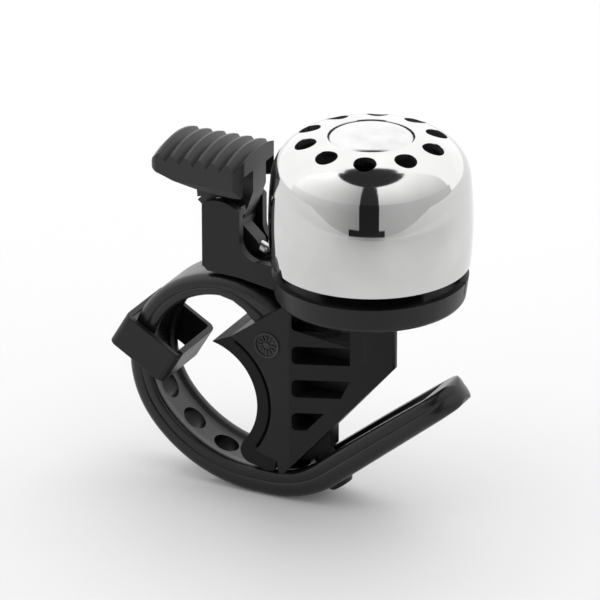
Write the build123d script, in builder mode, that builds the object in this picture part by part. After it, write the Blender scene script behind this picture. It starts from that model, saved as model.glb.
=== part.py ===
from build123d import *
import os
from math import acos, atan2, cos, degrees, hypot, radians, sin, sqrt

# Small handlebar bell with a perforated dome, a thumb lever and a rubber strap.
# Millimetres. Origin on the handlebar's axis, +Y along the handlebar, +Z up the dome's axis.

# ---- driving dimensions ----
bar_radius = 11.1  # 22.2 mm handlebar
dome_radius = 18.0
bell_x = 29.85  # dome axis
rim_z = 29.0  # dome's lower rim
bracket_half_width = 7.4
strap_half_width = 5.9

# ---- dome ----
dome_wall = 1.1
wall_radius = 80.0  # the side wall is very slightly barrelled
waist_z = rim_z + 7.5  # height of its widest point
crown_radius = 120.0
crown_z = rim_z + 23.75
shoulder_radius = 8.2
cap_radius = 7.65
cap_recess_depth = 0.7
vent_count = 10
vent_radius = 2.0
vent_ring_radius = 11.75
vent_chamfer = 0.3
vent_turn = 1.9  # degrees from +X
seat_plate = 1.2
well_radius = 3.3
well_depth = 2.0
cup_radius = 4.6
screw_radius = 1.5
screw_head_radius = 2.8
screw_head_height = 1.8
washer_thickness = 0.4
isolator_thickness = 1.5
insert_length = 6.0

# ---- base, lever housing ----
base_top_z = rim_z - 2.2
base_bottom_z = rim_z - 6.95
base_top_radius = 17.4
base_bottom_radius = 16.8
base_wall = 1.3
base_floor = 2.0
post_radius = 4.2
post_bore_radius = 3.0
pivot_x = 2.7
pivot_z = 31.8
housing_half_width = 5.5
housing_slot_half = 3.9
housing_left = -0.6
housing_right = 6.8
housing_back = -1.8
housing_arch_radius = 5.5
housing_floor_z = 24.6
housing_bottom_z = 23.35
housing_left_bottom_z = 23.6
back_wall_top_z = 33.6
pin_radius = 1.0
pin_clearance = 0.05

# ---- thumb lever ----
pad_half_width = 7.4
pad_left = -10.2
pad_right = 8.0
pad_crest_z = 46.6
pad_crown_radius = 19.0
rib_count = 7
rib_pitch = 2.72
rib_depth = 1.25
first_crest_x = -8.1
skirt_wall = 1.3
hub_radius = 2.9
hub_near = -1.5
hub_far = 3.6
arm_half_width = 1.5
press_angle = 25.0
spring_radius = 2.1
wire_radius = 0.25
spring_near = -3.6
spring_pitch = 0.58
spring_turns = 3
spring_leg = 4.4
spring_stop_x = 5.07  # both stops stand against the right side of the legs
hammer_radius = 1.3
hammer_tip_x = 10.35
hammer_tip_z = 26.55
hammer_length = 4.2

# ---- bracket ----
nose_x = bell_x + 5.1
nose_half_width = 0.7
taper_x = 17.45  # where the sides begin to close in
nose_bottom_z = 9.2
tip_x = 15.8
tip_z = -12.3
saddle_seat_radius = 13.9
web_half = 1.1  # middle wall between the side slots
slot_height = 3.4
slot_left = 17.9
slot_right = 27.6
slot_tops = (19.3, 12.9, 6.45, 0.0)
slot_edge_margin = 3.4
boss_radius = 2.7
hook_half_width = 1.7
peg_angle = 304.0  # where the peg stands on the strap's bend
peg_radius = 2.0
emblem_x = 13.1
emblem_z = 12.3
emblem_radius = 2.5
anchor_pin_radius = 1.5

# ---- strap ----
loop_x = 3.4
loop_z = 3.8
loop_outer_radius = 19.1
loop_inner_radius = 14.6
loop_inner_rise = 0.67  # inner face's centre sits this much higher
belly_x = 9.9
belly_z = 9.2
bend_x = 12.6
bend_radius = 20.3
tail_angle = 39.5
tail_length = 24.8  # straight part, up to the centre of its round end
strap_recess_half = 3.9
strap_recess = 0.9
strap_hole_radius = 2.4

# ---- keeper ----
keeper_angle = 149.0
keeper_x = -16.9
keeper_z = 9.95
keeper_depth = 12.4
keeper_width = 6.7
keeper_wall = 1.1
keeper_half_width = 7.5
keeper_slit = 0.8

bell_axis = Axis((bell_x, 0, 0), (0, 0, 1))


def side_plane(y):
    """Plane parallel to XZ at the given y, with local x = X and local y = Z."""
    return Plane(origin=(0, y, 0), x_dir=(1, 0, 0), z_dir=(0, -1, 0))


def polar(cx, cz, radius, angle):
    return (cx + radius * cos(radians(angle)), cz + radius * sin(radians(angle)))


def finish(part, name):
    part.label = name
    export_step(part, f"parts/{name}.step")


os.makedirs("parts", exist_ok=True)

# ================= dome group =================
crown_centre_z = crown_z - crown_radius
wall_x = dome_radius - wall_radius
# the shoulder's centre, where its arc touches both the crown's and the wall's
centre_gap = hypot(wall_x, waist_z - crown_centre_z)
crown_reach = crown_radius - shoulder_radius
wall_reach = wall_radius - shoulder_radius
crown_share = (crown_reach**2 - wall_reach**2 + centre_gap**2) / (2 * centre_gap)
offset = sqrt(crown_reach**2 - crown_share**2)
gap_x = wall_x / centre_gap
gap_z = (waist_z - crown_centre_z) / centre_gap
shoulder_x = crown_share * gap_x + offset * gap_z
shoulder_z = crown_centre_z + crown_share * gap_z - offset * gap_x
shoulder_angle = degrees(atan2(shoulder_z - crown_centre_z, shoulder_x))
wall_angle = degrees(atan2(shoulder_z - waist_z, shoulder_x - wall_x))


def dome_outline(inset):
    """Half section of the dome, reduced by inset, closed along the axis and the rim."""
    top = crown_z - inset
    r_crown = crown_radius - inset
    r_shoulder = shoulder_radius - inset
    start = (bell_x, top)
    join = polar(bell_x, crown_centre_z, r_crown, shoulder_angle)
    mid = polar(bell_x, crown_centre_z, r_crown, (90 + shoulder_angle) / 2)
    corner = polar(bell_x + shoulder_x, shoulder_z, r_shoulder, wall_angle)
    mid_corner = polar(bell_x + shoulder_x, shoulder_z, r_shoulder, (wall_angle + shoulder_angle) / 2)
    r_wall = wall_radius - inset
    foot = (bell_x + wall_x + sqrt(r_wall**2 - (waist_z - rim_z) ** 2), rim_z)
    with BuildLine() as line:
        ThreePointArc(start, mid, join)
        ThreePointArc(join, mid_corner, corner)
        ThreePointArc(corner, (bell_x + dome_radius - inset, waist_z), foot)
        Line(foot, (bell_x, rim_z))
        Line((bell_x, rim_z), start)
    return line.line


def axis_circle(radius, z):
    """Circle on the bell's axis at the given height."""
    with BuildSketch(Plane.XY.offset(z)) as sketch:
        with Locations((bell_x, 0)):
            Circle(radius)
    return sketch.sketch


def cross_shape(z):
    """Cross recess of a screw's head."""
    with BuildSketch(Plane.XY.offset(z)) as sketch:
        with Locations((bell_x, 0)):
            Rectangle(3.0, 0.6)
            Rectangle(0.6, 3.0)
    return sketch.sketch


cap_seat_z = crown_centre_z + sqrt(crown_radius**2 - cap_radius**2) - cap_recess_depth
cup_bottom_z = cap_seat_z - well_depth - seat_plate

with BuildPart() as bell_dome:
    with BuildSketch(side_plane(0)):
        add(dome_outline(0))
        make_face()
    revolve(axis=bell_axis)
    with BuildSketch(side_plane(0)):
        add(dome_outline(dome_wall))
        make_face()
    revolve(axis=bell_axis, mode=Mode.SUBTRACT)
    # seat under the cap, with a cup in its middle that hides the screw's head
    extrude(axis_circle(cap_radius + 0.6, cap_seat_z - seat_plate), amount=seat_plate)
    extrude(axis_circle(cup_radius, cup_bottom_z), amount=cap_seat_z - cup_bottom_z)
    extrude(axis_circle(cap_radius, cap_seat_z), amount=3, mode=Mode.SUBTRACT)
    extrude(axis_circle(well_radius, cap_seat_z - well_depth), amount=3, mode=Mode.SUBTRACT)
    extrude(axis_circle(screw_radius + 0.15, cup_bottom_z), amount=3, mode=Mode.SUBTRACT)
    # ring of round vents, square to the shoulder, with chamfered lips
    vent_slope = acos((vent_ring_radius - shoulder_x) / shoulder_radius)
    vent_z = shoulder_z + shoulder_radius * sin(vent_slope)
    lip = vent_chamfer + 0.4
    for index in range(vent_count):
        turn = 360 / vent_count * index + vent_turn
        outward = Vector(cos(vent_slope), 0, sin(vent_slope)).rotate(Axis.Z, turn)
        foot = Vector(vent_ring_radius, 0, 0).rotate(Axis.Z, turn) + Vector(bell_x, 0, vent_z)
        with BuildSketch(Plane(origin=foot + outward, z_dir=outward)):
            Circle(vent_radius)
        extrude(amount=-4, mode=Mode.SUBTRACT)
        with BuildSketch(Plane(origin=foot + outward * (lip - vent_chamfer), z_dir=outward)):
            Circle(vent_radius + lip)
        extrude(amount=-lip, taper=45, mode=Mode.SUBTRACT)
finish(bell_dome.part, "bell_dome")

with BuildPart() as dome_cap:
    cap_top = cap_seat_z + 1.35
    cap_edge = bell_x + cap_radius - 0.05
    with BuildSketch(side_plane(0)):
        with BuildLine():
            Line((bell_x, cap_seat_z + 0.5), (bell_x, cap_top))
            ThreePointArc((bell_x, cap_top), (bell_x + 3.3, cap_top - 0.12), (bell_x + 6.3, cap_top - 0.42))
            ThreePointArc(
                (bell_x + 6.3, cap_top - 0.42), (bell_x + 6.95, cap_top - 0.75), (cap_edge, cap_seat_z + 0.2)
            )
            Line((cap_edge, cap_seat_z + 0.2), (cap_edge, cap_seat_z))
            Line((cap_edge, cap_seat_z), (bell_x + well_radius, cap_seat_z))
            Line((bell_x + well_radius, cap_seat_z), (bell_x + well_radius, cap_seat_z + 0.5))
            Line((bell_x + well_radius, cap_seat_z + 0.5), (bell_x, cap_seat_z + 0.5))
        make_face()
    revolve(axis=bell_axis)
finish(dome_cap.part, "dome_cap")


post_top_z = cup_bottom_z - isolator_thickness
well_floor_z = cap_seat_z - well_depth

with BuildPart() as dome_washer:
    extrude(axis_circle(well_radius - 0.2, well_floor_z), amount=washer_thickness)
    extrude(axis_circle(screw_radius + 0.1, well_floor_z), amount=washer_thickness, mode=Mode.SUBTRACT)
finish(dome_washer.part, "dome_washer")

screw_tip_z = post_top_z - insert_length + 0.5

with BuildPart() as dome_screw:
    head_z = well_floor_z + washer_thickness
    extrude(axis_circle(screw_radius, screw_tip_z), amount=head_z - screw_tip_z)
    extrude(axis_circle(screw_head_radius, head_z), amount=screw_head_height)
    fillet(dome_screw.edges().group_by(Axis.Z)[-1], 0.6)
    extrude(cross_shape(head_z + screw_head_height), amount=-1.0, mode=Mode.SUBTRACT)
finish(dome_screw.part, "dome_screw")

with BuildPart() as dome_isolator:
    extrude(axis_circle(post_radius, post_top_z), amount=isolator_thickness)
    extrude(axis_circle(screw_radius + 0.1, post_top_z), amount=isolator_thickness, mode=Mode.SUBTRACT)
finish(dome_isolator.part, "dome_isolator")

with BuildPart() as threaded_insert:
    extrude(axis_circle(post_bore_radius, post_top_z - insert_length), amount=insert_length)
    extrude(axis_circle(screw_radius, post_top_z - insert_length), amount=insert_length, mode=Mode.SUBTRACT)
finish(threaded_insert.part, "threaded_insert")

# ================= base with lever housing =================
floor_z = base_bottom_z + base_floor
bore_floor_z = floor_z + 2.0

with BuildPart() as bell_base:
    with BuildSketch(side_plane(0)):
        with BuildLine():
            Polyline(
                (bell_x, base_bottom_z),
                (bell_x + base_bottom_radius - 1.2, base_bottom_z),
            )
            ThreePointArc(
                (bell_x + base_bottom_radius - 1.2, base_bottom_z),
                (bell_x + base_bottom_radius - 0.3, base_bottom_z + 0.35),
                (bell_x + base_bottom_radius + 0.15, base_bottom_z + 1.2),
            )
            Polyline(
                (bell_x + base_bottom_radius + 0.15, base_bottom_z + 1.2),
                (bell_x + base_top_radius, base_top_z),
                (bell_x, base_top_z),
                (bell_x, base_bottom_z),
            )
        make_face()
    revolve(axis=bell_axis)
    # two cheeks of the lever housing and the floor between them
    with BuildSketch(side_plane(0)):
        with BuildLine():
            arch_left = (housing_left, pivot_z + 4.45)
            arch_right = (housing_right, pivot_z + 3.95)
            Polyline(
                (housing_right, housing_bottom_z),
                (housing_left + 1, housing_left_bottom_z),
                (housing_left, housing_left_bottom_z + 1),
                arch_left,
            )
            ThreePointArc(arch_left, (pivot_x, pivot_z + housing_arch_radius), arch_right)
            Line(arch_right, (housing_right, 30.4))
            ThreePointArc(
                (housing_right, 30.4), (housing_right + 1.0, 28.0), (housing_right + 3.4, base_top_z)
            )
            Polyline(
                (housing_right + 3.4, base_top_z),
                (bell_x - 12, base_top_z),
                (bell_x - 12, base_bottom_z),
                (bell_x - 15, base_bottom_z),
                (housing_right, housing_bottom_z),
            )
        make_face()
    extrude(amount=housing_half_width, both=True)
    with BuildSketch(Plane.XY.offset(housing_left_bottom_z + 0.7)):
        with BuildLine():
            ThreePointArc(
                (housing_left, -housing_half_width), (housing_back, 0), (housing_left, housing_half_width)
            )
            Polyline(
                (housing_left, housing_half_width),
                (housing_left + 0.2, housing_half_width),
                (housing_left + 0.2, -housing_half_width),
                (housing_left, -housing_half_width),
            )
        make_face()
    extrude(amount=back_wall_top_z - housing_left_bottom_z - 0.7)
    # lever slot, open at the top and towards the dome
    with BuildSketch(side_plane(0)):
        with BuildLine():
            Polyline(
                (housing_left + 0.2, back_wall_top_z),
                (housing_left - 3, back_wall_top_z),
                (housing_left - 3, pivot_z + 8),
                (bell_x - base_top_radius - 0.05, pivot_z + 8),
                (bell_x - base_top_radius - 0.05, housing_floor_z),
                (housing_left + 0.2, housing_floor_z),
                close=True,
            )
        make_face()
    extrude(amount=housing_slot_half, both=True, mode=Mode.SUBTRACT)
    extrude(axis_circle(base_top_radius - base_wall, floor_z), amount=20, mode=Mode.SUBTRACT)
    # post that carries the dome, with its ribs
    extrude(axis_circle(post_radius, floor_z), amount=post_top_z - floor_z)
    with BuildSketch(side_plane(0)):
        with BuildLine():
            Polyline(
                (bell_x - 10, floor_z),
                (bell_x - 10, floor_z + 0.6),
                (bell_x - post_radius, floor_z + 12),
                (bell_x + post_radius, floor_z + 12),
                (bell_x + 10, floor_z + 0.6),
                (bell_x + 10, floor_z),
                close=True,
            )
        make_face()
    extrude(amount=0.6, both=True)
    extrude(axis_circle(post_bore_radius, bore_floor_z), amount=40, mode=Mode.SUBTRACT)
    extrude(axis_circle(screw_radius + 0.1, base_bottom_z), amount=10, mode=Mode.SUBTRACT)
    # index notch in the rim
    with BuildSketch(Plane.XY.offset(base_top_z - 2.4)):
        with Locations(Vector(base_top_radius, 0).rotate(Axis.Z, 9) + Vector(bell_x, 0)):
            Rectangle(1.0, 0.5, rotation=9)
    extrude(amount=3, mode=Mode.SUBTRACT)
    # stop for the spring's lower leg
    with BuildSketch(side_plane(-1.6)):
        with Locations((spring_stop_x + 0.6, housing_floor_z + 0.75)):
            Rectangle(1.2, 2.5)
    extrude(amount=housing_slot_half - 1.6 + 0.5)
    # seat of the lever's pin: through the far cheek, blind in the near one
    with BuildSketch(side_plane(housing_half_width)):
        with Locations((pivot_x, pivot_z)):
            Circle(pin_radius)
    extrude(amount=housing_half_width + housing_slot_half + 1.0, mode=Mode.SUBTRACT)
finish(bell_base.part, "bell_base")

with BuildPart() as base_washer:
    extrude(axis_circle(post_bore_radius - 0.2, bore_floor_z), amount=washer_thickness)
    extrude(axis_circle(screw_radius + 0.1, bore_floor_z), amount=washer_thickness, mode=Mode.SUBTRACT)
finish(base_washer.part, "base_washer")

base_screw_tip_z = base_bottom_z - 9

with BuildPart() as base_screw:
    head_z = bore_floor_z + washer_thickness
    extrude(axis_circle(screw_radius, base_screw_tip_z), amount=head_z - base_screw_tip_z)
    extrude(axis_circle(screw_head_radius - 0.1, head_z), amount=screw_head_height)
    fillet(base_screw.edges().group_by(Axis.Z)[-1], 0.6)
    extrude(cross_shape(head_z + screw_head_height), amount=-1.0, mode=Mode.SUBTRACT)
finish(base_screw.part, "base_screw")

# ================= thumb lever =================
with BuildPart() as lever_pin:
    with BuildSketch(side_plane(housing_half_width - 0.1)):
        with Locations((pivot_x, pivot_z)):
            Circle(pin_radius)
    extrude(amount=housing_half_width + housing_slot_half + 0.8)
    chamfer(lever_pin.edges(), 0.15)
finish(lever_pin.part, "lever_pin")

valley_z = pad_crest_z - rib_depth
tooth_points = []
for index in range(rib_count):
    crest_x = first_crest_x + rib_pitch * index
    tooth_points += [(crest_x - 1.5, valley_z), (crest_x - 0.35, pad_crest_z), (crest_x + 0.15, pad_crest_z)]
hammer_along = Vector(cos(radians(press_angle)), 0, -sin(radians(press_angle)))
hammer_tip = Vector(hammer_tip_x, 0, hammer_tip_z)
arm_end = hammer_tip - hammer_along * (hammer_length - 0.4)

with BuildSketch(side_plane(0)) as pad_section:
    with BuildLine():
        Polyline(
            (pad_left, valley_z - 1.6),
            (pad_left + 0.5, valley_z - 0.2),
            *tooth_points,
            (pad_right, pad_crest_z - 0.5),
            (pad_right, 40.8),
            (6.1, 40.4),
            (-1.0, 41.2),
            (-8.0, 43.2),
            close=True,
        )
    make_face()

with BuildPart() as thumb_lever:
    # ribbed pad, arched across its width
    for way in (-1, 1):
        pad_axis = Axis((0, 0, pad_crest_z - pad_crown_radius), (way, 0, 0))
        revolve(pad_section.sketch, axis=pad_axis, revolution_arc=30)
    with BuildSketch(Plane.XY.offset(30)):
        with Locations(((pad_left + pad_right) / 2, 0)):
            RectangleRounded(pad_right - pad_left, 2 * pad_half_width, 1.8)
    extrude(amount=30, mode=Mode.INTERSECT)
    # hollow underneath, open towards the dome
    with BuildSketch(side_plane(0)):
        with BuildLine():
            Polyline((-6.8, 30), (pad_right + 2, 30), (pad_right + 2, 42.9), (-6.8, 42.9), close=True)
        make_face()
    extrude(amount=pad_half_width - skirt_wall, both=True, mode=Mode.SUBTRACT)
    # neck between pad and hub, with the shield that follows the housing's arch
    with BuildSketch(side_plane(hub_far)):
        with Locations((pivot_x, pivot_z)):
            Circle(hub_radius)
        with BuildLine():
            Polyline(
                (1.1, 32.5), (1.1, 43.5), (7.6, 43.5), (7.6, 38.5), (6.2, 34.5), (5.4, 32.5), close=True
            )
        make_face()
    extrude(amount=hub_far - hub_near)
    with BuildSketch(side_plane(hub_far)):
        with BuildLine():
            shield_inner = housing_arch_radius - 0.1
            shield_outer = shield_inner + 1.2
            CenterArc((pivot_x, pivot_z), shield_inner, 88, 52)
            CenterArc((pivot_x, pivot_z), shield_outer, 88, 52)
            Line(
                polar(pivot_x, pivot_z, shield_inner, 88), polar(pivot_x, pivot_z, shield_outer, 88)
            )
            Line(
                polar(pivot_x, pivot_z, shield_inner, 140), polar(pivot_x, pivot_z, shield_outer, 140)
            )
        make_face()
    extrude(amount=2 * hub_far)
    with BuildSketch(side_plane(hub_far)):
        with BuildLine():
            Polyline((-2.4, 36.6), (-3.0, 43.5), (1.4, 43.5), (1.4, 37.6), close=True)
        make_face()
    extrude(amount=2 * hub_far)
    # sleeve for the spring
    with BuildSketch(side_plane(hub_near)):
        with Locations((pivot_x, pivot_z)):
            Circle(1.6)
    extrude(amount=hub_far + hub_near)
    # stop for the spring's upper leg
    with BuildSketch(side_plane(hub_near + 0.5)):
        with Locations((spring_stop_x + 0.6, 35.2)):
            Rectangle(1.2, 1.8)
    extrude(amount=housing_slot_half - 0.2 + hub_near + 0.5)
    # striker arm with the socket for its hammer
    with BuildSketch(side_plane(arm_half_width)):
        with Locations((pivot_x, pivot_z)):
            Circle(2.0)
        with Locations((arm_end.X, arm_end.Z)):
            Circle(1.8)
        make_hull()
    extrude(amount=2 * arm_half_width)
    with BuildSketch(Plane(origin=hammer_tip, z_dir=hammer_along)):
        Circle(hammer_radius)
    extrude(amount=-hammer_length, mode=Mode.SUBTRACT)
    with BuildSketch(side_plane(hub_far + 1)):
        with Locations((pivot_x, pivot_z)):
            Circle(pin_radius + pin_clearance)
    extrude(amount=2 * hub_far + 2, mode=Mode.SUBTRACT)
finish(thumb_lever.part, "thumb_lever")

with BuildPart() as hammer_head:
    with BuildSketch(Plane(origin=hammer_tip - hammer_along * hammer_length, z_dir=hammer_along)):
        Circle(hammer_radius)
    extrude(amount=hammer_length)
    fillet(hammer_head.edges().sort_by(Axis.X)[-1], hammer_radius - 0.05)
finish(hammer_head.part, "hammer_head")

with BuildPart() as lever_bumper:
    with BuildSketch(Plane.XY.offset(housing_floor_z)):
        with Locations((3.3, 0)):
            Circle(0.9)
    extrude(amount=2.7)
finish(lever_bumper.part, "lever_bumper")

# torsion spring on the lever's near side, each leg held by a stop: upper on the lever, lower on the base
coil = Helix(
    pitch=spring_pitch,
    height=spring_pitch * spring_turns,
    radius=spring_radius,
    center=(pivot_x, spring_near, pivot_z),
    direction=(0, 1, 0),
).rotate(Axis((pivot_x, 0, pivot_z), (0, 1, 0)), 90)

with BuildPart() as lever_spring:
    with BuildSketch(Plane(origin=coil @ 0, z_dir=coil % 0)):
        Circle(wire_radius)
    sweep(path=coil, is_frenet=True)
    with BuildSketch(Plane(origin=coil @ 0, z_dir=(0, 0, 1))):
        Circle(wire_radius)
    extrude(amount=spring_leg)
    with BuildSketch(Plane(origin=coil @ 1, z_dir=(0, 0, -1))):
        Circle(wire_radius)
    extrude(amount=spring_leg + 1.2)
finish(lever_spring.part, "lever_spring")

# ================= strap outline =================
belly_reach = hypot(belly_x - loop_x, belly_z - loop_z)
belly_radius = loop_outer_radius + belly_reach
join_angle = degrees(atan2(belly_z - loop_z, belly_x - loop_x)) + 180
inner_reach = belly_reach - 0.39
inner_x = loop_x + inner_reach * cos(radians(join_angle - 180))
inner_z = loop_z + loop_inner_rise + inner_reach * sin(radians(join_angle - 180))
inner_radius = loop_inner_radius + inner_reach
bottom_z = belly_z - belly_radius
bend_z = bottom_z + bend_radius
bend_inner_radius = bend_z - inner_z + inner_radius
tail_end_angle = 270 + tail_angle
root_points = ((16.2, 12.4), (emblem_x, emblem_z), (10.2, 12.6), (9.8, 15.2), (7.6, 17.2))
tail_x = cos(radians(tail_angle))
tail_z = sin(radians(tail_angle))


def face_line(raised, start_angle, run):
    """One long face of the strap, from start_angle on the loop to the tail.

    raised is None for the outer face, or a distance outwards from the inner face.
    """
    if raised is None:
        centres = ((loop_x, loop_z), (belly_x, belly_z), (bend_x, bend_z))
        radii = (loop_outer_radius, belly_radius, bend_radius)
    else:
        centres = ((loop_x, loop_z + loop_inner_rise), (inner_x, inner_z), (bend_x, bend_z))
        radii = (loop_inner_radius + raised, inner_radius + raised, bend_inner_radius + raised)
    (lx, lz), (bx, bz), (ex, ez) = centres
    start = polar(lx, lz, radii[0], start_angle)
    join = polar(lx, lz, radii[0], join_angle)
    bottom = (bx, bz - radii[1])
    bend_start = (ex, ez - radii[2])
    bend_end = polar(ex, ez, radii[2], tail_end_angle)
    end = (bend_end[0] + run * tail_x, bend_end[1] + run * tail_z)
    ThreePointArc(start, polar(lx, lz, radii[0], (start_angle + join_angle) / 2), join)
    ThreePointArc(join, polar(bx, bz, radii[1], (join_angle + 270) / 2), bottom)
    Line(bottom, bend_start)
    ThreePointArc(bend_start, polar(ex, ez, radii[2], 270 + tail_angle / 2), bend_end)
    Line(bend_end, end)
    return start, end


def root_profile():
    """Root lug of the strap, the part that sits inside the bracket."""
    with BuildSketch(side_plane(0)) as sketch:
        with BuildLine():
            Polyline(
                polar(loop_x, loop_z, loop_outer_radius, 48),
                *root_points,
                (11.0, 21.6),
                (14.9, 19.8),
                close=True,
            )
        make_face()
        with Locations((emblem_x, emblem_z)):
            Circle(3.1)
    return sketch.sketch


def strap_profile():
    """Side outline of the strap with its root lug."""
    with BuildSketch(side_plane(0)) as sketch:
        with BuildLine():
            outer_start, outer_end = face_line(None, 48, tail_length + strap_half_width)
            inner_start, inner_end = face_line(0, 92, tail_length + strap_half_width)
            Line(outer_end, inner_end)
            Polyline(outer_start, *root_points, inner_start)
        make_face()
        with Locations((emblem_x, emblem_z)):
            Circle(3.1)
    return sketch.sketch


# ================= bracket =================
edge_run = (nose_x - tip_x) / (nose_bottom_z - tip_z)  # X gained per Z along the lower edge


def lower_edge_x(z):
    return nose_x - (nose_bottom_z - z) * edge_run


seat_start = polar(0, 0, saddle_seat_radius, 65)
seat_end = polar(0, 0, saddle_seat_radius, -39)

with BuildPart() as bracket_body:
    with BuildSketch(side_plane(0)):
        with BuildLine():
            ThreePointArc(seat_end, (saddle_seat_radius, 0), seat_start)
            Polyline(
                seat_start,
                (18.8, base_bottom_z),
                (nose_x, base_bottom_z),
                (nose_x, nose_bottom_z),
                (tip_x + 0.5, tip_z),
                (tip_x - 0.4, tip_z),
                (15.1, -10.0),
                (13.3, -9.6),
                seat_end,
            )
        make_face()
    extrude(amount=bracket_half_width, both=True)
    # seen from above the sides close in to a narrow nose
    with BuildSketch(Plane.XY.offset(-30)):
        with BuildLine():
            Polyline(
                (0, -bracket_half_width),
                (taper_x, -bracket_half_width),
                (nose_x, -nose_half_width),
                (nose_x, nose_half_width),
                (taper_x, bracket_half_width),
                (0, bracket_half_width),
                close=True,
            )
        make_face()
        fillet(vertices().group_by(Axis.X)[-1], 0.6)
    extrude(amount=60, mode=Mode.INTERSECT)
    # slots between the side ribs, down to the middle wall and round the screw boss
    for top in slot_tops:
        bottom = top - slot_height
        top_right = min(slot_right, lower_edge_x(top) - slot_edge_margin)
        bottom_right = min(slot_right, lower_edge_x(bottom) - slot_edge_margin)
        for side in (-1, 1):
            with BuildSketch(side_plane(side * web_half)):
                with BuildLine():
                    Polyline(
                        (slot_left, bottom),
                        (slot_left, top),
                        (top_right, top),
                        (bottom_right, bottom),
                        close=True,
                    )
                make_face()
                fillet(vertices().group_by(Axis.X)[0], 0.9)
            extrude(amount=-side * 8, mode=Mode.SUBTRACT)
    extrude(axis_circle(boss_radius, nose_bottom_z + 1), amount=base_bottom_z - nose_bottom_z - 1)
    extrude(axis_circle(screw_radius, base_screw_tip_z), amount=12, mode=Mode.SUBTRACT)
    # hook that the strap's holes drop over
    with BuildSketch(side_plane(hook_half_width)):
        with BuildLine():
            Polyline(
                (16.6, -8.5),
                (20.0, -2.0),
                (23.0, -2.0),
                (23.0, -8.3),
                (21.8, -9.5),
                (19.6, -10.9),
                (17.3, -11.75),
                close=True,
            )
        make_face()
    extrude(amount=2 * hook_half_width)
    # peg through the strap, square to it, with a head that holds it
    peg_out = Vector(cos(radians(peg_angle)), 0, sin(radians(peg_angle)))
    peg_foot = Vector(bend_x, 0, bend_z) + peg_out * (bend_inner_radius - 0.6)
    with BuildSketch(Plane(origin=peg_foot, z_dir=peg_out)):
        Circle(peg_radius)
    peg_length = bend_radius - bend_inner_radius + 0.75
    extrude(amount=peg_length)
    with BuildSketch(Plane(origin=peg_foot + peg_out * peg_length, z_dir=peg_out)):
        Circle(peg_radius + 0.7)
    extrude(amount=0.9, taper=35)
    # pocket for the strap's root, and the bore of its pin
    extrude(root_profile(), amount=strap_half_width, both=True, mode=Mode.SUBTRACT)
    with BuildSketch(side_plane(6.6)):
        with Locations((emblem_x, emblem_z)):
            Circle(anchor_pin_radius)
    extrude(amount=14.1, mode=Mode.SUBTRACT)
    with BuildSketch(side_plane(-bracket_half_width)):
        with Locations((emblem_x, emblem_z)):
            Circle(emblem_radius)
    extrude(amount=-0.6, mode=Mode.SUBTRACT)
finish(bracket_body.part, "bracket_body")

with BuildPart() as strap_anchor_pin:
    with BuildSketch(side_plane(6.6)):
        with Locations((emblem_x, emblem_z)):
            Circle(anchor_pin_radius)
    extrude(amount=6.6 + bracket_half_width - 0.6)
    chamfer(strap_anchor_pin.edges(), 0.2)
finish(strap_anchor_pin.part, "strap_anchor_pin")

# small round badge over the pin: a ring and a plain sunburst
with BuildPart() as emblem_disc:
    with BuildSketch(side_plane(-bracket_half_width + 0.6)):
        with Locations((emblem_x, emblem_z)):
            Circle(emblem_radius - 0.05)
    extrude(amount=0.55)
    with BuildSketch(side_plane(-bracket_half_width + 0.05)):
        with Locations((emblem_x, emblem_z)):
            Circle(emblem_radius - 0.05)
            Circle(emblem_radius - 0.4, mode=Mode.SUBTRACT)
            Circle(0.6)
            with PolarLocations(1.3, 12):
                Rectangle(0.9, 0.28)
    extrude(amount=0.25)
finish(emblem_disc.part, "emblem_disc")

with BuildPart() as saddle_pad:
    wing = polar(0, 0, bar_radius, 79)
    lip = polar(0, 0, bar_radius, -42)
    with BuildSketch(side_plane(0)):
        with BuildLine():
            ThreePointArc(wing, (bar_radius, 0), lip)
            Line(lip, (7.75, -8.7))
            ThreePointArc((7.75, -8.7), (8.35, -10.7), (10.1, -11.6))
            Polyline(
                (10.1, -11.6),
                (13.2, -12.3),
                (14.4, -12.1),
                (15.1, -10.0),
                (13.3, -9.6),
                seat_end,
            )
            ThreePointArc(seat_end, (saddle_seat_radius, 0), seat_start)
            Line(seat_start, wing)
        make_face()
    extrude(amount=bracket_half_width, both=True)
    # shallow groove along the joint with the bracket, on both faces
    for side in (-1, 1):
        with BuildSketch(side_plane(side * bracket_half_width)):
            with BuildLine():
                groove_start = polar(0, 0, saddle_seat_radius, 60)
                groove_end = polar(0, 0, saddle_seat_radius, -36)
                ThreePointArc(groove_end, (saddle_seat_radius, 0), groove_start)
                Line(groove_start, polar(0, 0, saddle_seat_radius - 0.5, 60))
                ThreePointArc(
                    polar(0, 0, saddle_seat_radius - 0.5, 60),
                    (saddle_seat_radius - 0.5, 0),
                    polar(0, 0, saddle_seat_radius - 0.5, -36),
                )
                Line(polar(0, 0, saddle_seat_radius - 0.5, -36), groove_end)
            make_face()
        extrude(amount=side * 1.0, mode=Mode.SUBTRACT)
finish(saddle_pad.part, "saddle_pad")

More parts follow.
